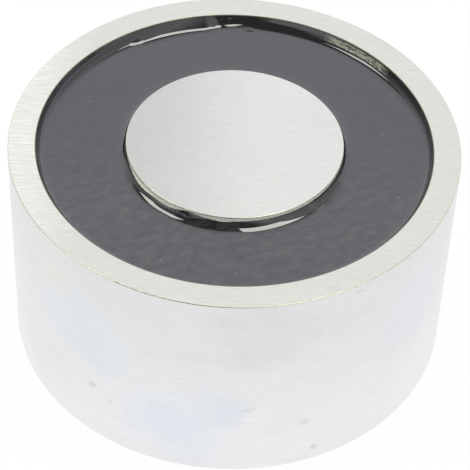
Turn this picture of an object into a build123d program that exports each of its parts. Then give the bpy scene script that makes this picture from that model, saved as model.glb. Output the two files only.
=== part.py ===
from build123d import *
import math
import os

# Round holding magnet with a permanent magnet and a release coil, potted in a steel pot.
# Millimetres. Origin: centre of the base mounting face. +Z points to the pole face,
# and the leads leave at the back, towards +Y.

# Turned steel pot; its rim is the outer pole
pot_dia = 90.0
total_height = 48.0
pot_wall = 5.5
base_thickness = 15.0
rim_edge_break = 0.3
bore_edge_break = 0.2
base_edge_break = 0.6
floor_corner_bevel = 0.8

# Threaded mounting hole in the middle of the base
tapping_dia = 6.8
thread_mouth_dia = 8.6
drill_point_angle = 118.0
drill_end_floor = 1.0

# Hard-ferrite disc on the floor of the pot
magnet_thickness = 8.0

# Plastic ring that centres the magnet and the flange of the pole core
spacer_wall = 2.0
spacer_fit = 0.15
spacer_top_drop = 0.5
spacer_corner_room = 0.2

# Turned steel core; its round end is the centre pole, with about the same area as the rim,
# because the same flux passes both
core_to_rim_area = 1.013
core_flange_thickness = 5.0
core_flange_step = 0.3
core_edge_break = 0.25

# Casting resin between the poles, with a meniscus up both walls; its knee is given as shares
# of its reach and of its rise
resin_recess = 2.2
resin_cover = 1.4
meniscus_foot = 3.6
meniscus_knee_reach = 0.3
meniscus_knee_rise = 0.42
meniscus_rise_core = 1.8
meniscus_rise_rim = 1.6

# Moulded bobbin round the core
bobbin_tube_wall = 1.0
bobbin_flange_thickness = 1.2
bobbin_core_fit = 0.2
bobbin_bore_gap = 0.6
bobbin_notches = 4
bobbin_notch_width = 6.0
bobbin_notch_depth = 1.6
wire_slot_width = 2.0
winding_fit = 0.05

# Insulating tape round the winding, with a lap at the front
tape_thickness = 0.4
tape_lap_angle = 24.0

# Sleeved joints between the winding's ends and the leads
splice_dia = 2.0
splice_end_room = 2.0
splice_gap = 0.25
splice_angle = 14.0

# Plastic bush for the leads, in a spot-faced hole in the pot's wall
bush_dia = 6.0
bush_wall = 1.25
bush_head_lip = 1.5
bush_head_thickness = 1.2
bush_recess = 0.4
bush_fit = 0.02
bush_head_room = 0.25
bush_end_drop = 0.2
bush_mouth_bevel = 0.4
bush_coil_room = 1.0

# Radii and levels that follow from the sizes above
pot_radius = pot_dia / 2
bore_radius = pot_radius - pot_wall
spacer_radius = bore_radius - spacer_fit
magnet_radius = spacer_radius - spacer_wall - spacer_fit
core_flange_radius = magnet_radius - core_flange_step
core_radius = math.sqrt(core_to_rim_area * (pot_radius**2 - bore_radius**2))
tube_inner_radius = core_radius + bobbin_core_fit
tube_radius = tube_inner_radius + bobbin_tube_wall
bobbin_flange_radius = bore_radius - bobbin_bore_gap
tape_radius = bore_radius - splice_dia - 2 * splice_gap
winding_radius = tape_radius - tape_thickness - winding_fit
bush_radius = bush_dia / 2
bush_head_radius = bush_radius + bush_head_lip

magnet_top = base_thickness + magnet_thickness
flange_top = magnet_top + core_flange_thickness
resin_level = total_height - resin_recess
bobbin_top = resin_level - resin_cover
winding_bottom = flange_top + bobbin_flange_thickness
winding_top = bobbin_top - bobbin_flange_thickness
bush_seat = pot_radius - bush_recess - bush_head_thickness
bush_shank_end = bore_radius - bush_end_drop
bush_level = winding_bottom + bush_coil_room + bush_radius

UPWARDS = (Align.CENTER, Align.CENTER, Align.MIN)
ABOUT_AXIS = (Align.NONE, Align.NONE, Align.MIN)


def disc(radius, bottom, top):
    return Pos(0, 0, bottom) * Cylinder(radius, top - bottom, align=UPWARDS)


def ring(outer, inner, bottom, top):
    return disc(outer, bottom, top) - disc(inner, bottom, top)


# Round bar along +Y at the height of the lead exit
def lead_bar(radius, near, far):
    start = Plane(origin=(0, near, bush_level), z_dir=(0, 1, 0))
    return start * Cylinder(radius, far - near, align=UPWARDS)


# The round edges of a turned piece at one radius and one height
def round_edges(piece, radius, level):
    circles = piece.edges().filter_by(GeomType.CIRCLE)
    same_radius = circles.filter_by(lambda edge: abs(edge.radius - radius) < 0.001)
    return same_radius.filter_by(lambda edge: abs(edge.arc_center.Z - level) < 0.001)


# Drilled and tapped from below, with a countersunk mouth and the drill's conical end
def mounting_hole():
    tapping_radius = tapping_dia / 2
    mouth_radius = thread_mouth_dia / 2
    mouth_depth = mouth_radius - tapping_radius
    cone_height = tapping_radius / math.tan(math.radians(drill_point_angle / 2))
    drill_depth = base_thickness - drill_end_floor - cone_height
    outline = Polyline(
        (0, 0),
        (mouth_radius, 0),
        (tapping_radius, mouth_depth),
        (tapping_radius, drill_depth),
        (0, drill_depth + cone_height),
        close=True,
    )
    return revolve(Plane.XZ * make_face(outline), axis=Axis.Z)


# Through the pot's wall at the back, with a flat seat for the bush's head
def lead_hole():
    shank_hole = lead_bar(bush_radius + bush_fit, tape_radius, pot_dia)
    head_seat = lead_bar(bush_head_radius + bush_head_room, bush_seat, pot_dia)
    return shank_hole + head_seat


def make_housing():
    pot = disc(pot_radius, 0, total_height) - disc(bore_radius, base_thickness, total_height)
    pot = chamfer(round_edges(pot, bore_radius, base_thickness), floor_corner_bevel)
    pot = chamfer(round_edges(pot, pot_radius, total_height), rim_edge_break)
    pot = chamfer(round_edges(pot, bore_radius, total_height), bore_edge_break)
    pot = chamfer(round_edges(pot, pot_radius, 0), base_edge_break)
    return pot - mounting_hole() - lead_hole()


def make_permanent_magnet():
    return disc(magnet_radius, base_thickness, magnet_top)


# The lower outer corner clears the turned bevel in the floor of the pot
def make_spacer_ring():
    inner_radius = spacer_radius - spacer_wall
    spacer = ring(spacer_radius, inner_radius, base_thickness, flange_top - spacer_top_drop)
    corner = round_edges(spacer, spacer_radius, base_thickness)
    return chamfer(corner, floor_corner_bevel + spacer_corner_room)


def make_pole_core():
    core = disc(core_flange_radius, magnet_top, flange_top) + disc(core_radius, magnet_top, total_height)
    return chamfer(round_edges(core, core_radius, total_height), core_edge_break)


# Notches let the resin flow past the flanges, and a slot brings out the winding's inner end
def make_coil_bobbin():
    bobbin = ring(tube_radius, tube_inner_radius, flange_top, bobbin_top)
    bobbin += ring(bobbin_flange_radius, tube_inner_radius, flange_top, winding_bottom)
    bobbin += ring(bobbin_flange_radius, tube_inner_radius, winding_top, bobbin_top)
    notch = Pos(bobbin_flange_radius, 0, flange_top) * Box(
        2 * bobbin_notch_depth, bobbin_notch_width, bobbin_top - flange_top, align=UPWARDS
    )
    for place in PolarLocations(0, bobbin_notches, start_angle=180 / bobbin_notches):
        bobbin -= place * notch
    slot_length = bobbin_flange_radius - tube_radius
    slot_middle = tube_radius + slot_length
    wire_slot = Pos(0, slot_middle, winding_top) * Box(
        wire_slot_width, 2 * slot_length, bobbin_flange_thickness, align=UPWARDS
    )
    return bobbin - wire_slot


def make_coil_winding():
    return ring(winding_radius, tube_radius + winding_fit, winding_bottom, winding_top)


# A closed wrap, and a second thickness over a short arc at the front where the tape laps itself
def make_coil_tape():
    inner_radius = tape_radius - tape_thickness
    wrap = ring(tape_radius, inner_radius, winding_bottom, winding_top)
    lap_ring = ring(tape_radius + tape_thickness, inner_radius, winding_bottom, winding_top)
    lap_sector = Rot(0, 0, -90 - tape_lap_angle / 2) * Cylinder(
        pot_radius, total_height, arc_size=tape_lap_angle, align=ABOUT_AXIS
    )
    return wrap + (lap_ring & lap_sector)


def make_splice_sleeves():
    splice_radius = splice_dia / 2
    sleeve = disc(splice_radius, winding_bottom + splice_end_room, winding_top - splice_end_room)
    sleeve = Pos(tape_radius + splice_gap + splice_radius, 0, 0) * sleeve
    return [Rot(0, 0, 90 + side * splice_angle) * sleeve for side in (-1, 1)]


def make_lead_bush():
    head_face = bush_seat + bush_head_thickness
    bush = lead_bar(bush_radius, bush_shank_end, head_face)
    bush += lead_bar(bush_head_radius, bush_seat, head_face)
    bush -= lead_bar(bush_radius - bush_wall, bush_shank_end, head_face)
    ends = bush.faces().filter_by(Plane.XZ).sort_by(Axis.Y)
    mouths = ends[0].edges().sort_by(SortBy.RADIUS)[:1] + ends[-1].edges().sort_by(SortBy.RADIUS)[:1]
    return chamfer(mouths, bush_mouth_bevel)


# Flat between the poles, and drawn up each wall by a shallow taper and then a steep one
def resin_surface_cap():
    knee_reach = meniscus_knee_reach * meniscus_foot
    core_knee_level = resin_level + meniscus_knee_rise * meniscus_rise_core
    rim_knee_level = resin_level + meniscus_knee_rise * meniscus_rise_rim
    outline = Polyline(
        (core_radius, bobbin_top),
        (core_radius, resin_level + meniscus_rise_core),
        (core_radius + knee_reach, core_knee_level),
        (core_radius + meniscus_foot, resin_level),
        (bore_radius - meniscus_foot, resin_level),
        (bore_radius - knee_reach, rim_knee_level),
        (bore_radius, resin_level + meniscus_rise_rim),
        (bore_radius, bobbin_top),
        close=True,
    )
    return revolve(Plane.XZ * make_face(outline), axis=Axis.Z)


# The cap over the bobbin and the jacket between the coil and the pot, less all that is cast in.
# It closes round the bush and leaves the bush's bore open.
def make_potting_resin(cast_in):
    resin = resin_surface_cap() + ring(bore_radius, tape_radius, flange_top, bobbin_top)
    resin -= lead_bar(bush_radius, bush_shank_end, pot_radius)
    for piece in cast_in:
        resin -= piece
    return resin


def make_parts():
    bobbin = make_coil_bobbin()
    tape = make_coil_tape()
    splices = make_splice_sleeves()
    return {
        "housing": make_housing(),
        "permanent_magnet": make_permanent_magnet(),
        "spacer_ring": make_spacer_ring(),
        "pole_core": make_pole_core(),
        "coil_bobbin": bobbin,
        "coil_winding": make_coil_winding(),
        "coil_tape": tape,
        "splice_sleeves": Compound(splices),
        "lead_bush": make_lead_bush(),
        "potting_resin": make_potting_resin([bobbin, tape, *splices]),
    }


os.makedirs("parts", exist_ok=True)
for name, piece in make_parts().items():
    export_step(piece, f"parts/{name}.step")
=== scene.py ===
import math

import bmesh
import bpy
import numpy as np
from mathutils import Matrix, Vector


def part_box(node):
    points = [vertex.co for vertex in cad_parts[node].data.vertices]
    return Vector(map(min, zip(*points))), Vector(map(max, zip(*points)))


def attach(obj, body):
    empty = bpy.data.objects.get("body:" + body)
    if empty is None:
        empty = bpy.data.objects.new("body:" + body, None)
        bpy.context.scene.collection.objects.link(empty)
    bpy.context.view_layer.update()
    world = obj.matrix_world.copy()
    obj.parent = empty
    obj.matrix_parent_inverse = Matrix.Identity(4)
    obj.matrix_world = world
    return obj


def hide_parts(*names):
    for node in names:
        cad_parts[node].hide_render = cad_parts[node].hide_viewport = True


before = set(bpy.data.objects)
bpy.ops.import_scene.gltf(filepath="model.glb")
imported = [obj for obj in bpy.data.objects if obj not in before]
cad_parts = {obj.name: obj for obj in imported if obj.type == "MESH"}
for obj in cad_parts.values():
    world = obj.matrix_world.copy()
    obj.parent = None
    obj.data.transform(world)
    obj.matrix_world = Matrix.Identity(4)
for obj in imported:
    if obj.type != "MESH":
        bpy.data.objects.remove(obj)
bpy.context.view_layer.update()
mm = 0.001

# Round holding magnet, standing on its base with the pole face up. Azimuths are in degrees from +X
# towards +Y, so the front of the pot is at -90 and the lead exit at 90.


# Sizes taken from the frame

def widestAbove(node, height):
    points = np.array([tuple(vertex.co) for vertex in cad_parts[node].data.vertices])
    upper = points[points[:, 2] > height]
    return float(np.hypot(upper[:, 0], upper[:, 1]).max())


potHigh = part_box("housing")[1]
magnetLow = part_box("permanent_magnet")[0]
coreLow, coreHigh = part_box("pole_core")
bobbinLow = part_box("coil_bobbin")[0]
bushLow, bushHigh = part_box("lead_bush")

potRadius = potHigh.x
poleFaceHeight = potHigh.z
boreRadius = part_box("potting_resin")[1].x
potFloor = magnetLow.z
flangeRadius = coreHigh.x
flangeBottom = coreLow.z
flangeTop = bobbinLow.z
coreRadius = widestAbove("pole_core", flangeTop + 1 * mm)
leadHeight = (bushLow.z + bushHigh.z) / 2

print("Sizes in mm: pot", round(potRadius / mm, 2), "bore", round(boreRadius / mm, 2),
      "core", round(coreRadius / mm, 2), "height", round(poleFaceHeight / mm, 2))


def linked(name, data):
    made = bpy.data.objects.new(name, data)
    bpy.context.scene.collection.objects.link(made)
    return made


# Camera

cameraPlace = {
    "aim": (0.83, 0.0, 21.58),      # mm, on the middle plane of the pot
    "distance": 425.8,              # mm
    "azimuth": -0.158,
    "elevation": 45.26,
    "roll": 2.53,
    "lens": 156.9,                  # mm on a 36 mm sensor
}


def placeCamera():
    azimuth = math.radians(cameraPlace["azimuth"])
    elevation = math.radians(cameraPlace["elevation"])
    back = Vector((
        math.sin(azimuth) * math.cos(elevation),
        -math.cos(azimuth) * math.cos(elevation),
        math.sin(elevation),
    ))
    data = bpy.data.cameras.new("camera")
    data.lens = cameraPlace["lens"]
    data.sensor_width = 36
    data.clip_start = 0.01
    data.clip_end = 20
    camera = linked("camera", data)
    camera.rotation_mode = "QUATERNION"
    roll = Matrix.Rotation(math.radians(cameraPlace["roll"]), 3, "Z")
    camera.rotation_quaternion = (back.to_track_quat("Z", "Y").to_matrix() @ roll).to_quaternion()
    camera.location = Vector(cameraPlace["aim"]) * mm + back * cameraPlace["distance"] * mm
    bpy.context.scene.camera = camera


placeCamera()
bpy.context.scene.view_settings.view_transform = "Standard"
print("Camera placed")


# Small helpers for the node materials

def addNode(tree, kind, sockets=None, **settings):
    made = tree.nodes.new(kind)
    for setting, value in settings.items():
        setattr(made, setting, value)
    for socket, value in (sockets or {}).items():
        if isinstance(value, bpy.types.NodeSocket):
            tree.links.new(value, made.inputs[socket])
        else:
            made.inputs[socket].default_value = value
    return made


def calculate(tree, operation, first, second=0.0):
    return addNode(tree, "ShaderNodeMath", {0: first, 1: second}, operation=operation).outputs[0]


def remap(tree, value, low, high, toLow=0.0, toHigh=1.0, kind="LINEAR"):
    sockets = {"Value": value, "From Min": low, "From Max": high, "To Min": toLow, "To Max": toHigh}
    return addNode(tree, "ShaderNodeMapRange", sockets, interpolation_type=kind).outputs["Result"]


# Whether a ray comes from the camera, and whether it was mirrored or let through
def rayKinds(tree):
    ray = addNode(tree, "ShaderNodeLightPath").outputs
    return ray["Is Camera Ray"], calculate(tree, "MAXIMUM", ray["Is Glossy Ray"], ray["Is Transmission Ray"])


def blendColour(tree, share, first, second, kind="MIX"):
    sockets = {0: share, 6: first, 7: second}
    made = addNode(tree, "ShaderNodeMix", sockets, data_type="RGBA", blend_type=kind)
    return made.outputs[2]


def product(tree, *values):
    total = values[0]
    for value in values[1:]:
        total = calculate(tree, "MULTIPLY", total, value)
    return total


# The middle of a noise's range, spread evenly to both sides of a value
def around(tree, noise, middle, spread):
    return remap(tree, noise, 0.3, 0.7, middle - spread, middle + spread)


def vectorMath(tree, operation, *values):
    return addNode(tree, "ShaderNodeVectorMath", dict(enumerate(values)), operation=operation).outputs[0]


def partsOf(tree, vector):
    return addNode(tree, "ShaderNodeSeparateXYZ", {0: vector}).outputs


def greyFrom(tree, level):
    return addNode(tree, "ShaderNodeCombineColor", {0: level, 1: level, 2: level}).outputs[0]


def shadeBy(tree, colour, level):
    return blendColour(tree, 1.0, colour, greyFrom(tree, level), "MULTIPLY")


def grey(level):
    return (level, level, level, 1)


def scaledColour(colour, factor):
    return tuple(channel * factor for channel in colour[:3]) + (1,)


def objectPlace(tree):
    return addNode(tree, "ShaderNodeTexCoord").outputs["Object"]


# Noise drawn out along one direction: turn in degrees about Z, then the length of a streak each way in mm
def streaks(tree, turn, lengths, detail=2.0, roughness=0.5, place=None):
    turned = addNode(tree, "ShaderNodeVectorRotate", {
        "Vector": place or objectPlace(tree),
        "Axis": (0, 0, 1),
        "Angle": math.radians(-turn),
    })
    scaled = vectorMath(tree, "MULTIPLY", turned.outputs[0], tuple(1 / (length * mm) for length in lengths))
    sockets = {"Vector": scaled, "Scale": 1.0, "Detail": detail, "Roughness": roughness}
    return addNode(tree, "ShaderNodeTexNoise", sockets).outputs["Fac"]


def newFinish(name, sockets):
    finish = bpy.data.materials.new(name)
    finish.use_nodes = True
    shader = finish.node_tree.nodes["Principled BSDF"]
    for socket, value in sockets.items():
        shader.inputs[socket].default_value = value
    return finish, finish.node_tree, shader


def feed(tree, shader, **sources):
    for socket, value in sources.items():
        tree.links.new(value, shader.inputs[socket.replace("_", " ")])


def addBump(tree, shader, height, depth, under=None):
    sockets = {"Height": height, "Strength": 1.0, "Distance": depth * mm}
    if under is not None:
        sockets["Normal"] = under
    normal = addNode(tree, "ShaderNodeBump", sockets).outputs[0]
    tree.links.new(normal, shader.inputs["Normal"])
    return normal


# Studio: a room with white walls that is dark overhead, where the lamps hang

room = {
    "sideEdge": 30.0,       # elevation in degrees where the dark part starts at the sides
    "backRise": 41.0,       # how much higher it starts straight behind
    "frontRise": -22.0,     # and straight in front, where it comes lower
    "crispness": 1.5,
    "fall": 17.0,           # degrees below it over which the wall loses light
    "nearDark": (0.74, 0.74, 0.70, 1),
    # light of the dark part from left to right: x of the direction, level
    "overhead": [
        (-0.98, 0.18), (-0.90, 0.34), (-0.80, 0.38), (-0.70, 0.55), (-0.62, 0.45), (-0.45, 0.14),
        (0.20, 0.14), (0.42, 0.72), (0.70, 0.60),
    ],
    "overheadTint": (1.0, 1.0, 0.95, 1),
    # share of the walls' light that is left towards the two sides
    "walls": [
        (-0.97, 0.26), (-0.89, 0.42), (-0.82, 0.64), (-0.58, 0.92), (-0.45, 1.0), (0.45, 1.0),
        (0.60, 0.88), (0.90, 0.62),
    ],
    "ambient": 1.0,
}


# Grey that changes evenly between named places of a value from -1 to 1
def bandedLevel(tree, value, stops):
    ramp = addNode(tree, "ShaderNodeValToRGB", {0: remap(tree, value, -1, 1)})
    elements = ramp.color_ramp.elements
    elements[0].position, elements[1].position = ((stops[end][0] + 1) / 2 for end in (0, -1))
    elements[0].color, elements[1].color = (grey(stops[end][1]) for end in (0, -1))
    for place, level in stops[1:-1]:
        elements.new((place + 1) / 2).color = grey(level)
    return ramp.outputs[0]


def buildRoom():
    world = bpy.data.worlds.new("studioRoom")
    bpy.context.scene.world = world
    world.use_nodes = True
    world.cycles.sampling_method = "NONE"
    tree = world.node_tree
    direction = addNode(tree, "ShaderNodeTexCoord").outputs["Generated"]
    parts = partsOf(tree, direction)
    elevation = product(tree, calculate(tree, "ARCSINE", parts["Z"]), 180 / math.pi)
    heading = vectorMath(tree, "NORMALIZE", vectorMath(tree, "MULTIPLY", direction, (1, 1, 0)))
    towardsBack = partsOf(tree, heading)["Y"]
    isBehind = calculate(tree, "GREATER_THAN", towardsBack, 0.0)
    rise = remap(tree, isBehind, 0, 1, room["frontRise"], room["backRise"])
    narrowed = product(tree, towardsBack, towardsBack)
    edge = calculate(tree, "ADD", product(tree, rise, narrowed), room["sideEdge"])
    above = calculate(tree, "SUBTRACT", elevation, edge)
    isOverhead = remap(tree, above, -room["crispness"] / 2, room["crispness"] / 2)
    fall = remap(tree, above, -room["fall"], 0, 0, 1, "SMOOTHSTEP")
    wall = blendColour(tree, fall, grey(1.0), room["nearDark"])
    wall = blendColour(tree, 1.0, wall, bandedLevel(tree, parts["X"], room["walls"]), "MULTIPLY")
    levels = bandedLevel(tree, parts["X"], room["overhead"])
    ceiling = blendColour(tree, 1.0, levels, room["overheadTint"], "MULTIPLY")
    seenByGloss = blendColour(tree, isOverhead, wall, ceiling)
    isSeen, gloss = rayKinds(tree)
    lit = blendColour(tree, gloss, grey(room["ambient"]), seenByGloss)
    colour = blendColour(tree, isSeen, lit, grey(1.0))
    tree.links.new(colour, tree.nodes["Background"].inputs["Color"])


# Softboxes, each with its direction from the pole face and its width and height in degrees
lamps = {
    "leftBox": {"towards": (-0.43, 0.23, 0.868), "size": (18, 12.5), "radiance": 4.6},
    "rightBox": {"towards": (0.205, 0.15, 0.965), "size": (18, 20), "radiance": 4.6},
    "sideBox": {"towards": (-0.80, -0.26, 0.52), "size": (22, 18), "radiance": 0.7},
}
lampColour = (1.0, 0.99, 0.84)
lampDistance = 0.9


def hangLamps():
    middle = Vector((0, 0, poleFaceHeight))
    for name, lamp in lamps.items():
        away = Vector(lamp["towards"]).normalized()
        up = away.cross(Vector((1, 0, 0))).normalized()
        data = bpy.data.lights.new(name, "AREA")
        data.shape = "RECTANGLE"
        data.size, data.size_y = (
            2 * lampDistance * math.tan(math.radians(angle / 2)) for angle in lamp["size"]
        )
        data.energy = lamp["radiance"] * math.pi * data.size * data.size_y
        data.color = lampColour
        light = linked(name, data)
        turned = Matrix((up.cross(away), up, away)).transposed().to_4x4()
        light.matrix_world = Matrix.Translation(middle + away * lampDistance) @ turned
        light.visible_camera = False


# The floor reads white, and part of it is a lit surface that keeps the object's shadow
floorLook = {
    "radius": 2.5,
    "height": -0.01 * mm,       # clear of the pot's base, which lies at 0
    "albedo": 0.9,
    "seenGlow": 0.965,
    "mirroredGlow": 0.92,
    "sides": 96,
}


def layFloor():
    points = [
        (floorLook["radius"] * math.cos(angle), floorLook["radius"] * math.sin(angle), floorLook["height"])
        for angle in np.linspace(0, 2 * math.pi, floorLook["sides"], endpoint=False)
    ]
    mesh = bpy.data.meshes.new("floor")
    mesh.from_pydata(points, [], [list(range(len(points)))])
    floor = linked("floor", mesh)
    finish = bpy.data.materials.new("paleFloor")
    finish.use_nodes = True
    tree = finish.node_tree
    tree.nodes.remove(tree.nodes["Principled BSDF"])
    lit = addNode(tree, "ShaderNodeBsdfDiffuse", {"Color": grey(floorLook["albedo"])})
    glow = addNode(tree, "ShaderNodeEmission", {"Color": grey(1.0), "Strength": 1.0})
    isSeen, gloss = rayKinds(tree)
    mirrored = product(tree, gloss, floorLook["mirroredGlow"])
    seen = product(tree, isSeen, floorLook["seenGlow"])
    share = calculate(tree, "MAXIMUM", mirrored, seen)
    mixed = addNode(tree, "ShaderNodeMixShader", {0: share, 1: lit.outputs[0], 2: glow.outputs[0]})
    tree.links.new(mixed.outputs[0], tree.nodes["Material Output"].inputs["Surface"])
    mesh.materials.append(finish)


buildRoom()
hangLamps()
layFloor()
print("Studio built")


# Turned meshes

sharpAngle = math.radians(32)       # an edge that turns by more stays sharp


# Rounds each corner of an outline of (radius, height) with its own arc. A corner is
# (radius, height, arc radius, finish of the arc, finish of the stretch after it).
def roundedOutline(corners, arcSteps, rowStep, support=0.06 * mm):
    points, finishes = [], []
    count = len(corners)
    for index, (radius, height, arc, arcFinish, nextFinish) in enumerate(corners):
        here = Vector((radius, height))
        if arc > 0:
            before = Vector(corners[index - 1][:2]) - here
            after = Vector(corners[(index + 1) % count][:2]) - here
            before.normalize()
            after.normalize()
            half = before.angle(after) / 2
            reach = arc / math.tan(half)
            centre = here + (before + after).normalized() * (arc / math.sin(half))
            start = here + before * reach - centre
            end = here + after * reach - centre
            sweep = start.angle_signed(end)
            for step in range(arcSteps + 1):
                turn = Matrix.Rotation(-sweep * step / arcSteps, 2)
                points.append(centre + turn @ start)
                finishes.append(arcFinish)
            finishes[-1] = nextFinish
        else:
            points.append(here)
            finishes.append(nextFinish)
    rows, rowFinishes = [], []
    for index, point in enumerate(points):
        rows.append(point)
        rowFinishes.append(finishes[index])
        if index + 1 == len(points):
            break
        stretch = points[index + 1] - point
        if stretch.length > 6 * support:
            inner = stretch.length - 2 * support
            parts = max(1, round(inner / rowStep))
            for step in range(parts + 1):
                rows.append(point + stretch.normalized() * (support + inner * step / parts))
                rowFinishes.append(finishes[index])
    return [tuple(row) for row in rows], rowFinishes


def ringOfPoints(radius, height, sides):
    if radius < 1e-7:
        return np.array([(0.0, 0.0, height)])
    angles = np.arange(sides) * 2 * math.pi / sides
    return np.stack([radius * np.cos(angles), radius * np.sin(angles), np.full(sides, height)], 1)


# Joins rings of points by faces. The next ring has as many points, one point, or a whole number of
# times more.
def joinRings(rings, finishes, closed=False):
    starts = np.cumsum([0] + [len(ring) for ring in rings])
    faces, faceFinishes = [], []
    pairs = list(zip(range(len(rings) - 1), range(1, len(rings))))
    if closed:
        pairs.append((len(rings) - 1, 0))
    for low, high in pairs:
        lowCount, highCount = len(rings[low]), len(rings[high])
        before = len(faces)
        if lowCount == highCount:
            for i in range(lowCount):
                j = (i + 1) % lowCount
                faces.append((starts[low] + i, starts[low] + j, starts[high] + j, starts[high] + i))
        elif lowCount == 1:
            for i in range(highCount):
                faces.append((starts[low], starts[high] + (i + 1) % highCount, starts[high] + i))
        elif highCount == 1:
            for i in range(lowCount):
                faces.append((starts[low] + i, starts[low] + (i + 1) % lowCount, starts[high]))
        else:
            share = highCount // lowCount
            for i in range(lowCount):
                j = (i + 1) % lowCount
                fan = [starts[high] + (i * share + k) % highCount for k in range(share + 1)]
                middle = share // 2
                for k in range(share):
                    near = starts[low] + (i if k < middle else j)
                    faces.append((near, fan[k + 1], fan[k]))
                faces.append((starts[low] + i, starts[low] + j, fan[middle]))
        faceFinishes += [finishes[low]] * (len(faces) - before)
    return np.concatenate(rings), faces, faceFinishes


# A mesh whose UV map runs along the ground lines, which gives the ground faces their direction of sheen
def makePiece(name, points, faces, faceFinishes, finishes, groundAngle=0.0):
    mesh = bpy.data.meshes.new(name)
    mesh.from_pydata(points.tolist(), [], faces)
    order = list(finishes)
    for finish in order:
        mesh.materials.append(finishes[finish])
    mesh.polygons.foreach_set("material_index", [order.index(finish) for finish in faceFinishes])
    corners = np.zeros(len(mesh.loops), np.int32)
    mesh.loops.foreach_get("vertex_index", corners)
    turn = math.radians(groundAngle)
    flat = points[corners][:, :2] / (100 * mm)
    along = flat @ np.array([math.cos(turn), math.sin(turn)])
    across = flat @ np.array([-math.sin(turn), math.cos(turn)])
    layer = mesh.uv_layers.new(name="groundLines")
    layer.data.foreach_set("uv", np.stack([along, across], 1).astype(np.float32).ravel())
    mesh.shade_smooth()
    mesh.set_sharp_from_angle(angle=sharpAngle)
    return linked(name, mesh)


# Sum of whole waves round the axis, from -1 to 1, the same at every run
def ripple(azimuth, lowest, highest, seed):
    draw = np.random.default_rng(seed)
    total = np.zeros_like(azimuth)
    for wave in range(lowest, highest + 1):
        total += draw.uniform(0.4, 1.0) * np.cos(wave * azimuth + draw.uniform(0, 2 * math.pi))
    return total / np.abs(total).max()


# Angle from a place given in degrees, up to half a turn each way
def turnFrom(azimuth, where):
    return np.angle(np.exp(1j * (azimuth - math.radians(where))))


# 1 between two azimuths in degrees, falling to 0 over the soft part outside them
def between(azimuth, start, end, soft):
    offset = np.abs(np.degrees(turnFrom(azimuth, (start + end) / 2)))
    share = np.clip(1 - (offset - (end - start) / 2) / soft, 0, 1)
    return share * share * (3 - 2 * share)


# Finishes of the steel

# 1 in the middle of a spot on the pot's wall, falling to 0 at its half width and half height in mm
def spotOnWall(tree, place, azimuth, height, halfWidth, halfHeight, tilt=0, heart=0.25):
    angle = math.radians(azimuth)
    mapped = addNode(tree, "ShaderNodeMapping", {
        "Vector": place,
        "Location": (potRadius * math.cos(angle), potRadius * math.sin(angle), height * mm),
        "Rotation": (math.radians(tilt), 0, angle),
        "Scale": (max(halfWidth, 3) * mm, halfWidth * mm, halfHeight * mm),
    }, vector_type="TEXTURE")
    distance = addNode(tree, "ShaderNodeVectorMath", {0: mapped.outputs[0]}, operation="LENGTH")
    return remap(tree, distance.outputs["Value"], 1, heart, 0, 1, "SMOOTHSTEP")


def platedSteel(name, look):
    finish, tree, shader = newFinish(name, {
        "Metallic": 1.0,
        "Roughness": look["roughness"],
        "Anisotropic": look["anisotropic"],
    })
    place = objectPlace(tree)
    warp = addNode(tree, "ShaderNodeTexNoise", {"Vector": place, "Scale": 60.0, "Detail": 3.0})
    warped = vectorMath(tree, "SUBTRACT", warp.outputs["Color"], (0.5, 0.5, 0.5))
    moved = vectorMath(tree, "MULTIPLY_ADD", warped, (0.02, 0.02, 0.02), place)
    height = partsOf(tree, place)["Z"]
    # Painted light and shade: paler towards the foot and darker towards the top, standing in for the floor
    # that the side mirrors
    towardsTop = remap(tree, height, 0, poleFaceHeight, 0, 1, "SMOOTHSTEP")
    colour = blendColour(tree, towardsTop, look["litFootColour"], look["shadedTopColour"])
    for azimuth, height, halfWidth, halfHeight, tint in look["patches"]:
        share = spotOnWall(tree, moved, azimuth, height, halfWidth, halfHeight)
        colour = blendColour(tree, product(tree, share, 0.9), colour, tint)
    rubbed = vectorMath(tree, "MULTIPLY_ADD", warped, (0.002, 0.002, 0.002), place)
    for azimuth, height, halfWidth, halfHeight, tilt, level in look["smudges"]:
        share = spotOnWall(tree, rubbed, azimuth, height, halfWidth, halfHeight, tilt, 0.4)
        colour = blendColour(tree, product(tree, share, 0.5), colour, grey(level))
    turning = streaks(tree, 0, (18, 18, look["lineHeight"]), detail=3.0, roughness=0.6)
    fine = streaks(tree, 0, (0.5, 0.5, 0.5), detail=2.0)
    mottle = streaks(tree, 0, (6, 6, 4), detail=3.0)
    lines = around(tree, turning, 1, look["lineContrast"])
    grain = around(tree, fine, 1, look["grainContrast"])
    cloud = around(tree, mottle, 1, look["cloudContrast"])
    painted = shadeBy(tree, colour, product(tree, lines, grain, cloud))
    feed(tree, shader, Base_Color=painted, Roughness=around(tree, mottle, look["roughness"], 0.04))
    tangent = addNode(tree, "ShaderNodeTangent", direction_type="RADIAL", axis="Z")
    tree.links.new(tangent.outputs[0], shader.inputs["Tangent"])
    first = addBump(tree, shader, turning, look["lineDepth"])
    addBump(tree, shader, fine, look["grainDepth"], first)
    return finish


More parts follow.
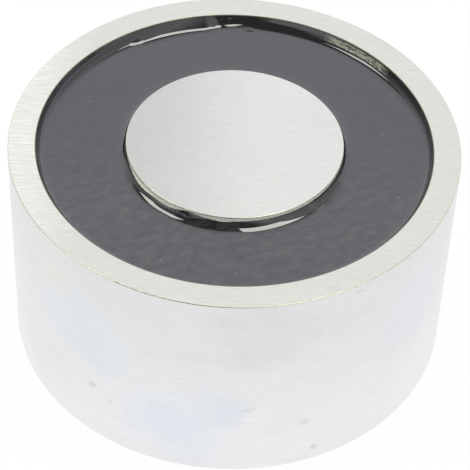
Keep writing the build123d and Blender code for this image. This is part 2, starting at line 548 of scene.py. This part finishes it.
def groundSteel(name, look):
    finish, tree, shader = newFinish(name, {
        "Metallic": 1.0,
        "Roughness": look["roughness"],
        "Anisotropic": look["anisotropic"],
    })
    fine = streaks(tree, look["angle"], (2.6, 0.22, 1), detail=2.0, roughness=0.6)
    coarse = streaks(tree, look["angle"], (8, 0.6, 1), detail=3.0, roughness=0.6)
    broad = streaks(tree, look["angle"], (4, 0.45, 1), detail=2.0)
    cloud = streaks(tree, look["angle"], (14, 8, 5), detail=2.0)
    lines = around(tree, fine, 1, look["lineContrast"])
    bands = around(tree, coarse, 1, look["bandContrast"])
    clouds = around(tree, cloud, 1, look["cloudContrast"])
    # Painted sheen and shade across X: the rim is painted lighter at its left, the pole face darker at its
    # left and a little lighter at its right, and the coarse lines are painted stronger at the left along with
    # it
    across = partsOf(tree, objectPlace(tree))["X"]
    left, right, leftLevel, rightLevel = look["paintedSheen"]
    paintedSheen = remap(tree, across, left * mm, right * mm, leftLevel, rightLevel, "SMOOTHSTEP")
    sheenLineShare = remap(tree, across, left * mm, right * mm, look["sheenLineContrast"], 0, "SMOOTHSTEP")
    traces = addNode(tree, "ShaderNodeMath", {0: around(tree, broad, 0, 1), 1: sheenLineShare, 2: 1.0},
                     operation="MULTIPLY_ADD").outputs[0]
    painted = shadeBy(tree, look["colour"], product(tree, lines, bands, clouds, paintedSheen, traces))
    feed(tree, shader, Base_Color=painted, Roughness=around(tree, coarse, look["roughness"], 0.03))
    tangent = addNode(tree, "ShaderNodeTangent", direction_type="UV_MAP", uv_map="groundLines")
    tree.links.new(tangent.outputs[0], shader.inputs["Tangent"])
    first = addBump(tree, shader, fine, look["lineDepth"])
    addBump(tree, shader, coarse, look["bandDepth"], first)
    return finish


# The small edge breaks, where the yellowish passivation of the plating shows
def tintedEdge(name, colour, roughness):
    finish, tree, shader = newFinish(name, {"Metallic": 1.0, "Roughness": roughness})
    spots = streaks(tree, 0, (0.5, 0.5, 0.4), detail=3.0, roughness=0.7)
    feed(tree, shader, Base_Color=shadeBy(tree, colour, remap(tree, spots, 0.3, 0.7, 0.75, 1.1)))
    addBump(tree, shader, spots, 0.02)
    return finish


# Steel pot

pot = {
    "sides": 720,
    "threadSides": 90,
    "arcSteps": 4,
    "rowStep": 4 * mm,
    "mouthRadius": 4.3 * mm,
    "tappingRadius": 3.4 * mm,
    "threadRadius": 4.0 * mm,
    "threadPitch": 1.25 * mm,
    "threadEnd": 10.4 * mm,
    "drillEnd": 1.0 * mm,            # steel left between the drill's point and the magnet
    "drillPointAngle": 118,
    "threadRowStep": 0.09 * mm,
    "baseBreak": 0.6 * mm,
    "rimRound": 0.14 * mm,
    "boreBreak": 0.18 * mm,
    "floorBevel": 0.8 * mm,
    "groundAngle": 3.5,
    # dents of the top outer edge: azimuth, width in mm, depth in mm
    "nicks": [
        (-117.0, 0.5, 0.16), (-114.8, 0.4, 0.12), (-112.1, 0.7, 0.15), (-109.6, 0.4, 0.12),
        (-107.4, 0.5, 0.14), (-104.9, 0.4, 0.10), (-58.0, 0.6, 0.05), (-160.0, 0.5, 0.05),
        (24.0, 0.6, 0.05), (141.0, 0.5, 0.05),
    ],
    "edgeRipple": 0.01 * mm,
    "edgeColour": (0.80, 0.79, 0.64, 1),
    "boreEdgeColour": (0.42, 0.41, 0.30, 1),
}

platedLook = {
    # Painted light and shade: the side is painted paler towards the foot, where it mirrors the bright floor,
    # and darker towards the top
    "shadedTopColour": (0.765, 0.772, 0.770, 1),
    "litFootColour": (0.86, 0.867, 0.88, 1),
    "roughness": 0.30,
    "anisotropic": 0.4,
    "lineHeight": 0.35,
    "lineContrast": 0.02,
    "grainContrast": 0.03,
    "cloudContrast": 0.02,
    "lineDepth": 0.004,
    "grainDepth": 0.003,
    # faint colours of the passivated zinc: azimuth, height, half width and half height in mm, colour
    "patches": [
        (-128, 30, 15, 15, (0.77, 0.80, 0.85, 1)),
        (-143, 39, 9, 9, (0.79, 0.79, 0.77, 1)),
        (-147, 14, 13, 13, (0.82, 0.80, 0.83, 1)),
        (-104, 12, 15, 15, (0.79, 0.82, 0.88, 1)),
        (-90, 20, 9, 9, (0.77, 0.80, 0.86, 1)),
        (-80, 41, 16, 11, (0.735, 0.735, 0.735, 1)),
        (-35, 30, 14, 14, (0.79, 0.79, 0.84, 1)),
        (20, 22, 16, 16, (0.81, 0.79, 0.84, 1)),
        (75, 14, 14, 14, (0.76, 0.79, 0.86, 1)),
        (120, 34, 15, 15, (0.81, 0.81, 0.75, 1)),
        (165, 16, 16, 16, (0.77, 0.80, 0.85, 1)),
    ],
    # rubbed spots: azimuth, height, half width and half height in mm, tilt in degrees, grey
    "smudges": [
        (-125.6, 15.0, 1.3, 0.8, 20, 0.60),
        (-120.6, 12.9, 1.0, 0.6, -15, 0.66),
        (-83.5, 18.8, 2.2, 0.9, 12, 0.68),
        (-65.7, 4.4, 1.1, 1.0, 30, 0.58),
        (-69.0, 12.5, 1.6, 1.3, -40, 0.70),
        (-57.0, 46.0, 1.5, 0.13, -12, 0.30),
        (-98.0, 33.0, 5.0, 0.25, 2, 0.70),
        (-44.0, 24.0, 6.0, 0.3, -2, 0.71),
        (-147.0, 26.0, 3.0, 0.3, 3, 0.70),
        (12.0, 34.0, 4.0, 0.3, -3, 0.70),
        (58.0, 19.0, 1.4, 0.9, 25, 0.64),
        (108.0, 9.0, 3.0, 0.4, 4, 0.68),
        (150.0, 30.0, 1.2, 1.0, -30, 0.66),
    ],
}

rimLook = {
    "colour": (0.755, 0.747, 0.715, 1),
    # Painted sheen: the rim's left is painted lighter, with stronger lines there
    "paintedSheen": (-43, -28, 1.16, 1.0),     # x of the left and the right end in mm, level at each
    "sheenLineContrast": 0.10,
    "roughness": 0.30,
    "anisotropic": 0.6,
    "angle": 3.5,
    "lineContrast": 0.06,
    "bandContrast": 0.03,
    "cloudContrast": 0.01,
    "lineDepth": 0.003,
    "bandDepth": 0.004,
}


# Wall of the tapped hole, from the drill's point down to the countersunk mouth
def tappedHole():
    top = potFloor - pot["drillEnd"]
    cone = pot["tappingRadius"] / math.tan(math.radians(pot["drillPointAngle"] / 2))
    rings = [ringOfPoints(0, top, 1)]
    azimuth = np.arange(pot["threadSides"]) * 2 * math.pi / pot["threadSides"]
    for height in np.linspace(top - cone, 0, round((top - cone) / pot["threadRowStep"]) + 1):
        turn = height / pot["threadPitch"] - azimuth / (2 * math.pi)
        fromRoot = np.abs(turn - np.round(turn)) * pot["threadPitch"]
        apex = pot["threadRadius"] + pot["threadPitch"] * math.sqrt(3) / 16
        thread = np.clip(apex - fromRoot * math.sqrt(3), pot["tappingRadius"], pot["threadRadius"])
        fade = np.clip((pot["threadEnd"] - height) / pot["threadPitch"], 0, 1)
        wall = pot["tappingRadius"] + (thread - pot["tappingRadius"]) * fade
        radius = np.maximum(wall, pot["mouthRadius"] - height)
        rings.append(np.stack([
            radius * np.cos(azimuth), radius * np.sin(azimuth), np.full_like(azimuth, height),
        ], 1))
    return rings


# Round cutter along +Y for the lead hole and the flat seat of the bush's head
def leadHoleCutter(shankRadius, headRadius, seat):
    inside = boreRadius - 3 * mm
    outside = potRadius + 3 * mm
    outline = [(0, inside), (shankRadius, inside), (shankRadius, seat), (headRadius, seat),
               (headRadius, outside), (0, outside)]
    rings = [ringOfPoints(radius, along, 96) for radius, along in outline]
    points, faces, faceFinishes = joinRings(rings, ["cut"] * len(rings))
    points = np.stack([points[:, 0], points[:, 2], -points[:, 1]], 1)
    mesh = bpy.data.meshes.new("leadHoleCutter")
    mesh.from_pydata((points + [0, 0, leadHeight]).tolist(), [], faces)
    return linked("leadHoleCutter", mesh)


def cutAway(piece, cutter):
    modifier = piece.modifiers.new("cut", "BOOLEAN")
    modifier.operation = "DIFFERENCE"
    modifier.solver = "EXACT"
    modifier.object = cutter
    bpy.context.view_layer.update()
    evaluated = piece.evaluated_get(bpy.context.evaluated_depsgraph_get())
    cut = bpy.data.meshes.new_from_object(evaluated)
    piece.modifiers.clear()
    old = piece.data
    piece.data = cut
    cut.name = old.name
    bpy.data.meshes.remove(old)
    bpy.data.objects.remove(cutter)
    piece.data.set_sharp_from_angle(angle=sharpAngle)


# The turned edge is a little uneven, with small dents
def wearRimEdge(points):
    azimuth = np.arctan2(points[:, 1], points[:, 0])
    radius = np.hypot(points[:, 0], points[:, 1])
    reach = np.hypot(radius - potRadius, points[:, 2] - poleFaceHeight)
    share = np.exp(-(reach / (0.35 * mm)) ** 2)
    dent = pot["edgeRipple"] * (1 + ripple(azimuth, 30, 170, 5)) / 2
    for where, width, depth in pot["nicks"]:
        offset = turnFrom(azimuth, where) * potRadius
        dent += depth * mm * np.exp(-(offset / (width * mm / 2)) ** 2)
    inward = dent * share
    points[:, 0] -= np.cos(azimuth) * inward
    points[:, 1] -= np.sin(azimuth) * inward
    points[:, 2] -= inward * 0.7


def makePot(bushSizes):
    rings = tappedHole()
    names = ["bore"] * len(rings)
    names[-1] = "base"
    corners = [
        (pot["mouthRadius"] + 0.4 * mm, 0, 0, None, "base"),
        (potRadius - pot["baseBreak"], 0, 0.1 * mm, "edge", "edge"),
        (potRadius, pot["baseBreak"], 0.1 * mm, "edge", "side"),
        (potRadius, poleFaceHeight, pot["rimRound"], "rimEdge", "rim"),
        (boreRadius, poleFaceHeight, pot["boreBreak"], "boreEdge", "bore"),
        (boreRadius, potFloor + pot["floorBevel"], 0.1 * mm, "bore", "bore"),
        (boreRadius - pot["floorBevel"], potFloor, 0.1 * mm, "bore", "bore"),
        (0, potFloor, 0, None, "bore"),
    ]
    outline, outlineFinishes = roundedOutline(corners, pot["arcSteps"], pot["rowStep"])
    rings += [ringOfPoints(radius, height, pot["sides"]) for radius, height in outline]
    names += outlineFinishes
    points, faces, faceFinishes = joinRings(rings, names)
    wearRimEdge(points)
    plated = platedSteel("platedSteel", platedLook)
    edge = tintedEdge("passivatedEdge", pot["edgeColour"], 0.25)
    finishes = {
        "side": plated,
        "base": plated,
        "bore": plated,
        "edge": edge,
        "rimEdge": edge,
        "boreEdge": tintedEdge("brownedBoreEdge", pot["boreEdgeColour"], 0.3),
        "rim": groundSteel("groundRim", rimLook),
    }
    shell = makePiece("potShell", points, faces, faceFinishes, finishes, pot["groundAngle"])
    shank, head, seat = bushSizes
    cutAway(shell, leadHoleCutter(shank, head, seat))
    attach(shell, "root")
    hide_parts("housing")


# Lead bush, moulded in black nylon

bush = {
    "sides": 160,
    "headThickness": 1.2 * mm,
    "shankRadius": 3.0 * mm,
    "holeRadius": 1.75 * mm,
    "mouthBevel": 0.4 * mm,
    "shankFit": 0.02 * mm,
    "headRoom": 0.25 * mm,
}


def mouldedPlastic(name, colour, roughness, grain):
    finish, tree, shader = newFinish(name, {"Specular IOR Level": 0.5})
    fine = streaks(tree, 0, (0.12, 0.12, 0.12), detail=3.0, roughness=0.6)
    broad = streaks(tree, 0, (3, 3, 3), detail=2.0)
    feed(tree, shader,
         Base_Color=blendColour(tree, remap(tree, broad, 0.3, 0.7), scaledColour(colour, 0.82), colour),
         Roughness=around(tree, fine, roughness, 0.08))
    addBump(tree, shader, fine, grain)
    return finish


def makeBush():
    inside, outside = bushLow.y, bushHigh.y
    seat = outside - bush["headThickness"]
    hole, bevel, shank, head = (
        bush["holeRadius"], bush["mouthBevel"], bush["shankRadius"], bushHigh.x,
    )
    corners = [(radius, along, arc * mm, "nylon", "nylon") for radius, along, arc in (
        (hole, inside + bevel, 0.1),
        (hole + bevel, inside, 0.05),
        (shank, inside, 0.15),
        (shank, seat, 0.1),
        (head, seat, 0.1),
        (head, outside, 0.3),
        (hole + bevel, outside, 0.15),
        (hole, outside - bevel, 0.15),
    )]
    outline, finishes = roundedOutline(corners, 4, 1 * mm, 0.04 * mm)
    rings = [ringOfPoints(radius, along, bush["sides"]) for radius, along in outline]
    points, faces, faceFinishes = joinRings(rings, finishes, closed=True)
    points = np.stack([points[:, 0], points[:, 2], -points[:, 1]], 1) + [0, 0, leadHeight]
    nylon = mouldedPlastic("blackNylon", (0.035, 0.035, 0.037, 1), 0.42, 0.01)
    piece = makePiece("cableBush", points, faces, faceFinishes, {"nylon": nylon})
    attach(piece, "root")
    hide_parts("lead_bush")
    return shank + bush["shankFit"], head + bush["headRoom"], seat


makePot(makeBush())
print("Pot and lead bush made")


# Pole core

core = {
    "sides": 720,
    "arcSteps": 4,
    "rowStep": 3 * mm,
    "topRound": 0.16 * mm,
    "root": 0.15 * mm,
    "flangeBreak": 0.4 * mm,
    # the bare wall is darker towards the resin, between these two heights
    "darkBelow": 45.9 * mm,
    "plainAbove": 46.9 * mm,
    "groundAngle": 5.0,
    "edgeRipple": 0.01 * mm,
    "edgeColour": (0.80, 0.80, 0.72, 1),
    "dullColour": (0.78, 0.77, 0.64, 1),
    "brightColour": (1.0, 0.99, 0.92, 1),
    "stainColour": (0.16, 0.16, 0.10, 1),
    "darkenedColour": (0.07, 0.07, 0.045, 1),
}

poleLook = {
    "colour": (0.755, 0.755, 0.742, 1),
    # Painted shade and light: the pole face is painted darker at its left and a little lighter at its right
    "paintedSheen": (-22, 8, 0.83, 1.035),
    "sheenLineContrast": 0.012,
    "roughness": 0.30,
    "anisotropic": 0.6,
    "angle": 5.0,
    "lineContrast": 0.06,
    "bandContrast": 0.012,
    "cloudContrast": 0.012,
    "lineDepth": 0.002,
    "bandDepth": 0.003,
}


# Bare turned steel of the core, scratched aslant where the resin left it free and darker towards the resin
def turnedSteel(name):
    finish, tree, shader = newFinish(name, {
        "Metallic": 0.2,
        "Roughness": 0.5,
        "Anisotropic": 0.6,
        "Anisotropic Rotation": 0.25,
    })
    place = objectPlace(tree)
    height = partsOf(tree, place)["Z"]
    # Darker towards the resin, from darkBelow up to plainAbove
    aboveResin = remap(tree, height, core["darkBelow"], core["plainAbove"], 0.12, 1.0)
    slanted = addNode(tree, "ShaderNodeVectorRotate", {"Vector": place, "Axis": (1, -1, 0), "Angle": 0.9})
    scratches = streaks(tree, 0, (2.0, 0.1, 0.1), detail=2.0, place=slanted.outputs[0])
    stain = streaks(tree, 0, (0.9, 0.9, 0.5), detail=4.0, roughness=0.7)
    scratched = remap(tree, scratches, 0.35, 0.65)
    colour = blendColour(tree, scratched, core["dullColour"], core["brightColour"])
    stained = blendColour(tree, remap(tree, stain, 0.60, 0.74), colour, core["stainColour"])
    shaded = blendColour(tree, aboveResin, core["darkenedColour"], stained)
    tangent = addNode(tree, "ShaderNodeTangent", direction_type="RADIAL", axis="Z")
    feed(tree, shader, Base_Color=shaded, Tangent=tangent.outputs[0])
    addBump(tree, shader, scratches, 0.01)
    return finish


def makeCore(bareSteel):
    bevel = core["flangeBreak"]
    corners = [
        (0, flangeBottom, 0, None, "turned"),
        *((radius, height, 0.1 * mm, "turned", "turned") for radius, height in (
            (flangeRadius - bevel, flangeBottom),
            (flangeRadius, flangeBottom + bevel),
            (flangeRadius, flangeTop - bevel),
            (flangeRadius - bevel, flangeTop),
            (coreRadius + core["root"], flangeTop),
            (coreRadius, flangeTop + core["root"]),
        )),
        (coreRadius, poleFaceHeight, core["topRound"], "edge", "face"),
        (0, poleFaceHeight, 0, None, "face"),
    ]
    outline, names = roundedOutline(corners, core["arcSteps"], core["rowStep"])
    rings = [ringOfPoints(radius, height, core["sides"]) for radius, height in outline]
    points, faces, faceFinishes = joinRings(rings, names)
    azimuth = np.arctan2(points[:, 1], points[:, 0])
    radius = np.hypot(points[:, 0], points[:, 1])
    reach = np.hypot(radius - coreRadius, points[:, 2] - poleFaceHeight)
    dent = core["edgeRipple"] * (1 + ripple(azimuth, 30, 150, 8)) / 2 * np.exp(-(reach / (0.3 * mm)) ** 2)
    points[:, 0] -= np.cos(azimuth) * dent
    points[:, 1] -= np.sin(azimuth) * dent
    finishes = {
        "turned": bareSteel,
        "edge": tintedEdge("coreEdge", core["edgeColour"], 0.22),
        "face": groundSteel("groundPole", poleLook),
    }
    piece = makePiece("poleCore", points, faces, faceFinishes, finishes, core["groundAngle"])
    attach(piece, "root")
    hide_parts("pole_core")


bareSteel = turnedSteel("scratchedCore")
makeCore(bareSteel)
print("Pole core made")


# Casting resin

resin = {
    "level": 45.8 * mm,
    "sides": 720,
    "rows": 84,
    "skirt": 45.25 * mm,       # where the cast top meets the jacket taken from the frame
    "cut": 45.2 * mm,
    # slope of the meniscus by the distance from the wall: mm, degrees
    "coreSlopes": [
        (0, 62), (0.2, 48), (0.55, 29.5), (1.5, 16), (1.8, 13), (2.05, 9), (2.6, 6), (3.5, 3.5), (6, 0),
    ],
    "rimSlopes": [(0, 68), (0.45, 57), (0.9, 38), (1.3, 22), (1.95, 13), (2.25, 4), (2.5, 0)],
    "swellSlopes": [(0, 56), (1.2, 38), (1.75, 30), (2.1, 20), (2.4, 15.5), (2.95, 13), (3.1, 4), (3.3, 0)],
    "coreEdge": 1.38 * mm,     # height where it ends on the core
    "rimEdge": 1.95 * mm,
    "film": 2.2,               # steepness of the film that it leaves above itself
    "undulation": 0.012 * mm,
    # where it ends higher or lower on the core: azimuth and half width in degrees, change in mm
    "edgeChanges": [
        (-174, 9, 0.6), (-145, 13, -0.45), (-125, 8, -0.25), (-112, 5, 0.55), (-95, 6, -0.25),
        (-5, 25, 0.4),
    ],
    "narrow": {"azimuth": -126, "halfWidth": 8, "share": 0.2},      # where the meniscus reaches less far out
    "swell": {"from": 101, "to": 122, "soft": 5},                    # stretch of the rim where it set thicker
    # a drop beside it, which lies nearer to the rim towards the right
    "dropSlopes": [(0, 70), (0.5, 60), (0.72, 30), (1.25, 17), (1.6, 15), (1.95, 13), (2.25, 4), (2.5, 0)],
    "drop": {"from": 87, "to": 93, "soft": 4, "azimuths": (83, 97), "shifts": (0.45, -0.35)},
    # beads and sinks that set before they levelled: azimuth, radius, half width, half length, height in mm
    "marks": [
        (84.0, 38.9, 0.25, 0.3, 0.05),
        (-42.0, 23.15, 0.22, 0.8, -0.13),
        (-89.0, 30.8, 1.6, 3.2, -0.2),
    ],
    "colour": (0.004, 0.004, 0.004, 1),
    "specks": (0.08, 0.35),     # darkest and palest grey of the dust
}


# Height of the meniscus by the distance from the wall, summed up from its slopes
def meniscus(distance, slopes):
    places = np.linspace(0, slopes[-1][0], 400)
    climbs = np.tan(np.radians(np.interp(places, *zip(*slopes))))
    steps = (climbs[1:] + climbs[:-1]) / 2 * (places[1] - places[0])
    heights = np.concatenate([np.cumsum(steps[::-1])[::-1], [0]])
    return mm * np.interp(distance / mm, places, heights)


# Where the resin ends on a wall, by azimuth
def edgeLine(azimuth, level, changes, seed):
    line = level + 0.05 * mm * ripple(azimuth, 2, 9, seed) + 0.05 * mm * ripple(azimuth, 40, 170, seed + 1)
    for where, width, change in changes:
        offset = np.degrees(turnFrom(azimuth, where))
        line += change * mm * np.exp(-(offset / width) ** 2)
    return line


# Points and faces of the cast top, and whether each point lies on the torn edge at the core
def resinTop():
    azimuth = np.arange(resin["sides"]) * 2 * math.pi / resin["sides"]
    share = 0.5 - 0.5 * np.cos(np.linspace(0, math.pi, resin["rows"]))
    swell, drop, narrow = resin["swell"], resin["drop"], resin["narrow"]
    isSwell = between(azimuth, swell["from"], swell["to"], swell["soft"])
    isDrop = between(azimuth, drop["from"], drop["to"], drop["soft"])
    shift = mm * np.interp(np.degrees(azimuth), drop["azimuths"], drop["shifts"])
    aside = np.degrees(turnFrom(azimuth, narrow["azimuth"])) / narrow["halfWidth"]
    reach = 1 - narrow["share"] * np.exp(-aside * aside)
    coreEdge = edgeLine(azimuth, resin["coreEdge"], resin["edgeChanges"], 11)
    rimEdge = edgeLine(azimuth, resin["rimEdge"], [], 21)
    nowhere = np.zeros(resin["sides"], bool)
    skirt = (resin["skirt"], resin["skirt"] + 0.4 * mm)
    rings = [ringOfPoints(coreRadius, height, resin["sides"]) for height in skirt]
    isTorn = [nowhere, nowhere]
    for radius in coreRadius + (boreRadius - coreRadius) * share:
        fromCore, fromRim = radius - coreRadius, boreRadius - radius
        x, y = radius * np.cos(azimuth), radius * np.sin(azimuth)
        climbed = meniscus(fromCore / reach, resin["coreSlopes"])
        isTorn.append(climbed > coreEdge)
        atCore = np.minimum(np.maximum(climbed, coreEdge - resin["film"] * fromCore), coreEdge)
        atRim = meniscus(fromRim, resin["rimSlopes"])
        atRim += isSwell * (meniscus(fromRim, resin["swellSlopes"]) - atRim)
        atRim += isDrop * (meniscus(np.maximum(fromRim + shift, 0), resin["dropSlopes"]) - atRim)
        atRim = np.maximum(atRim, rimEdge - resin["film"] * fromRim)
        waves = np.sin(x / (3.1 * mm) + 1.3 * np.sin(y / (4.3 * mm)))
        waves *= np.sin(y / (2.6 * mm) + x / (7.0 * mm))
        away = 1 - np.clip((atCore + atRim) / mm, 0, 1)
        height = resin["level"] + atCore + atRim + resin["undulation"] * waves * away
        for where, middle, width, length, rise in resin["marks"]:
            across = (radius / mm - middle) / width
            along = turnFrom(azimuth, where) * middle / length
            height += rise * mm * np.exp(-across * across - along * along)
        rings.append(np.stack([x, y, height], 1))
    for height in reversed(skirt):
        rings.append(ringOfPoints(boreRadius, height, resin["sides"]))
        isTorn.append(nowhere)
    points, faces, _ = joinRings(rings, ["resin"] * len(rings))
    return points, faces, np.concatenate(isTorn)


# Each speck: how far apart in mm, the share of the cells with one, and its largest radius as a share of them
dust = [(1.3, 0.45, 0.08), (3.4, 0.4, 0.06)]

# A painted reflection, a wavy grey-olive band high on the meniscus of the rim, and the film of dust that was
# wiped over the front
paintedReflection = {
    "azimuth": 50,
    "halfWidth": 13,
    "from": 38.8 * mm,
    "to": 39.43 * mm,
    "along": 1.6 * mm,
    "across": 0.28 * mm,
    "colour": (0.30, 0.30, 0.22, 1),
}
dustFilm = {
    "rear": 14 * mm,
    "front": -16 * mm,
    "least": 0.15,
    "colour": (0.040, 0.040, 0.033, 1),
}


# Wavy streaks of the painted reflection, drawn out round the rim
def paintedReflectionShare(tree, parts):
    angle = product(tree, calculate(tree, "ARCTAN2", parts["Y"], parts["X"]), 180 / math.pi)
    squares = [product(tree, parts[axis], parts[axis]) for axis in ("X", "Y")]
    radius = calculate(tree, "SQRT", calculate(tree, "ADD", *squares))
    offset = calculate(tree, "ABSOLUTE", calculate(tree, "SUBTRACT", angle, paintedReflection["azimuth"]))
    within = remap(tree, offset, paintedReflection["halfWidth"], paintedReflection["halfWidth"] * 0.7)
    within = product(tree, within, remap(tree, radius, paintedReflection["from"] - 0.1 * mm, paintedReflection["from"]))
    within = product(tree, within, remap(tree, radius, paintedReflection["to"], paintedReflection["to"] - 0.04 * mm))
    turns = product(tree, angle, boreRadius * math.pi / 180 / paintedReflection["along"])
    rows = calculate(tree, "DIVIDE", radius, paintedReflection["across"])
    place = addNode(tree, "ShaderNodeCombineXYZ", {0: turns, 1: rows}).outputs[0]
    reflectionWaves = addNode(tree, "ShaderNodeTexNoise", {
        "Vector": place, "Scale": 1.0, "Detail": 2.0, "Distortion": 1.2,
    }).outputs["Fac"]
    return product(tree, within, remap(tree, reflectionWaves, 0.42, 0.56))


def blackResin(name):
    finish, tree, shader = newFinish(name, {
        "Roughness": 0.035,
        "IOR": 1.75,
        "Specular IOR Level": 0.84,
        "Specular Tint": (0.91, 0.89, 1.0, 1),
    })
    place = objectPlace(tree)
    colour = resin["colour"]
    for gap, chance, largest in dust:
        cells = addNode(tree, "ShaderNodeTexVoronoi", {"Vector": place, "Scale": 1 / (gap * mm)})
        drawn = addNode(tree, "ShaderNodeSeparateColor", {0: cells.outputs["Color"]})
        size = remap(tree, drawn.outputs[0], 1 - chance, 1.0, 0.0, largest)
        speck = calculate(tree, "LESS_THAN", cells.outputs["Distance"], size)
        pale = remap(tree, drawn.outputs[1], 0, 1, *resin["specks"])
        colour = blendColour(tree, speck, colour, greyFrom(tree, pale))
    parts = partsOf(tree, place)
    towardsFront = remap(tree, parts["Y"], dustFilm["rear"], dustFilm["front"], dustFilm["least"], 1.0)
    wipes = streaks(tree, 24, (3.2, 1.5, 2.0), detail=6.0, roughness=0.75)
    dusty = product(tree, remap(tree, wipes, 0.42, 0.72), towardsFront)
    colour = blendColour(tree, dusty, colour, dustFilm["colour"], "ADD")
    # Painted reflection on the meniscus of the rim
    colour = blendColour(tree, paintedReflectionShare(tree, parts), colour, paintedReflection["colour"])
    feed(tree, shader, Base_Color=colour)
    slow = streaks(tree, 0, (2.5, 2.5, 2.5), detail=1.0)
    addBump(tree, shader, slow, 0.004)
    return finish


# The cast top is the builder's own mesh; the jacket round the coil is the frame's, cut off below it
def makeResin(bareSteel):
    mesh = bpy.data.meshes.new("castResin")
    body = bmesh.new()
    body.from_mesh(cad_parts["potting_resin"].data)
    bmesh.ops.remove_doubles(body, verts=body.verts, dist=1e-6)
    bmesh.ops.bisect_plane(body, geom=body.verts[:] + body.edges[:] + body.faces[:], dist=1e-7,
                           plane_co=(0, 0, resin["cut"]), plane_no=(0, 0, 1), clear_outer=True)
    points, faces, isTorn = resinTop()
    added = [body.verts.new(point) for point in points]
    for face in faces:
        made = body.faces.new([added[index] for index in face])
        made.material_index = int(all(isTorn[index] for index in face))
    middle = (coreRadius + boreRadius) / 2
    openEdges = [edge for edge in body.edges if edge.is_boundary]
    inner = [edge for edge in openEdges if math.hypot(*edge.verts[0].co[:2]) < middle]
    outer = [edge for edge in openEdges if math.hypot(*edge.verts[0].co[:2]) >= middle]
    for loops in (inner, outer):
        bmesh.ops.bridge_loops(body, edges=loops)
    bmesh.ops.recalc_face_normals(body, faces=body.faces)
    body.to_mesh(mesh)
    body.free()
    mesh.materials.append(blackResin("blackResin"))
    mesh.materials.append(bareSteel)
    mesh.shade_smooth()
    mesh.set_sharp_from_angle(angle=math.radians(40))
    piece = linked("castResin", mesh)
    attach(piece, "root")
    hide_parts("potting_resin")


makeResin(bareSteel)
print("Casting resin made")


# Pieces cast in, which keep their solids and get their finishes here

castIn = {
    "wirePitch": 0.56 * mm,
    "strandPitch": 0.45 * mm,
    "ferriteColour": (0.045, 0.045, 0.049, 1),
    "spacerColour": (0.70, 0.69, 0.64, 1),
    "bobbinColour": (0.045, 0.045, 0.048, 1),
    "wireColour": (0.42, 0.13, 0.035, 1),
    "tapeColour": (0.62, 0.43, 0.09, 1),
    "sleeveColour": (0.028, 0.028, 0.030, 1),
}


# Pressed and fired hard ferrite: dark, dull and a little grainy
def firedFerrite(name):
    finish, tree, shader = newFinish(name, {"Metallic": 0.1})
    grain = streaks(tree, 0, (0.25, 0.25, 0.25), detail=4.0, roughness=0.7)
    cloud = streaks(tree, 0, (7, 7, 5), detail=3.0)
    base = castIn["ferriteColour"]
    paler = scaledColour(base, 1.6)
    share = product(tree, remap(tree, grain, 0.3, 0.7), remap(tree, cloud, 0.3, 0.7, 0.4, 1.0))
    feed(tree, shader,
         Base_Color=blendColour(tree, share, base, paler),
         Roughness=remap(tree, grain, 0.3, 0.7, 0.48, 0.66))
    addBump(tree, shader, grain, 0.02)
    return finish


# Even layers of enamelled wire, one turn above the other
def woundWire(name):
    finish, tree, shader = newFinish(name, {"Metallic": 0.55, "Coat Weight": 0.7, "Coat Roughness": 0.12})
    place = objectPlace(tree)
    height = partsOf(tree, place)["Z"]
    turns = calculate(tree, "DIVIDE", height, castIn["wirePitch"])
    wave = calculate(tree, "ABSOLUTE", calculate(tree, "SINE", product(tree, turns, math.pi)))
    roundness = calculate(tree, "POWER", wave, 0.6)
    chance = addNode(tree, "ShaderNodeTexWhiteNoise", {"W": calculate(tree, "FLOOR", turns)},
                     noise_dimensions="1D").outputs["Value"]
    base = castIn["wireColour"]
    gap, paler = scaledColour(base, 0.25), scaledColour(base, 1.25)
    wire = blendColour(tree, chance, base, paler)
    stain = streaks(tree, 0, (4, 4, 1), detail=3.0)
    feed(tree, shader,
         Base_Color=blendColour(tree, remap(tree, wave, 0.1, 0.5), gap, wire),
         Roughness=remap(tree, stain, 0.3, 0.7, 0.22, 0.38))
    addBump(tree, shader, roundness, 0.2)
    return finish


# Polyester tape, with the small creases of a tight wrap
def wrappedTape(name):
    finish, tree, shader = newFinish(name, {"Coat Weight": 0.5, "Coat Roughness": 0.1})
    crease = streaks(tree, 0, (2.5, 2.5, 9), detail=3.0, roughness=0.6)
    haze = streaks(tree, 0, (5, 5, 5), detail=2.0)
    base = castIn["tapeColour"]
    deeper = scaledColour(base, 0.72)
    feed(tree, shader,
         Base_Color=blendColour(tree, remap(tree, haze, 0.3, 0.7), deeper, base),
         Roughness=remap(tree, crease, 0.3, 0.7, 0.2, 0.36))
    addBump(tree, shader, crease, 0.08)
    return finish


# Woven sleeving, its strands crossing at a slant
def wovenSleeving(name):
    finish, tree, shader = newFinish(name, {})
    place = objectPlace(tree)
    parts = partsOf(tree, place)
    across = product(tree, parts["X"], 2 * math.pi / castIn["strandPitch"])
    upward = product(tree, parts["Z"], 2 * math.pi / castIn["strandPitch"])
    first = calculate(tree, "SINE", calculate(tree, "ADD", across, upward))
    second = calculate(tree, "SINE", calculate(tree, "SUBTRACT", across, upward))
    weave = product(tree, first, second)
    base = castIn["sleeveColour"]
    paler = scaledColour(base, 2.0)
    feed(tree, shader,
         Base_Color=blendColour(tree, remap(tree, weave, -1, 1), base, paler),
         Roughness=remap(tree, weave, -1, 1, 0.62, 0.5))
    addBump(tree, shader, weave, 0.05)
    return finish


def finishCastIn():
    finishes = {
        "permanent_magnet": firedFerrite("firedFerrite"),
        "spacer_ring": mouldedPlastic("paleAcetal", castIn["spacerColour"], 0.45, 0.008),
        "coil_bobbin": mouldedPlastic("glassFilledNylon", castIn["bobbinColour"], 0.5, 0.012),
        "coil_winding": woundWire("enamelledWire"),
        "coil_tape": wrappedTape("amberTape"),
        "splice_sleeves": wovenSleeving("blackSleeving"),
    }
    for node, finish in finishes.items():
        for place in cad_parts[node].material_slots:
            place.material = finish


finishCastIn()
print("Cast-in pieces finished")
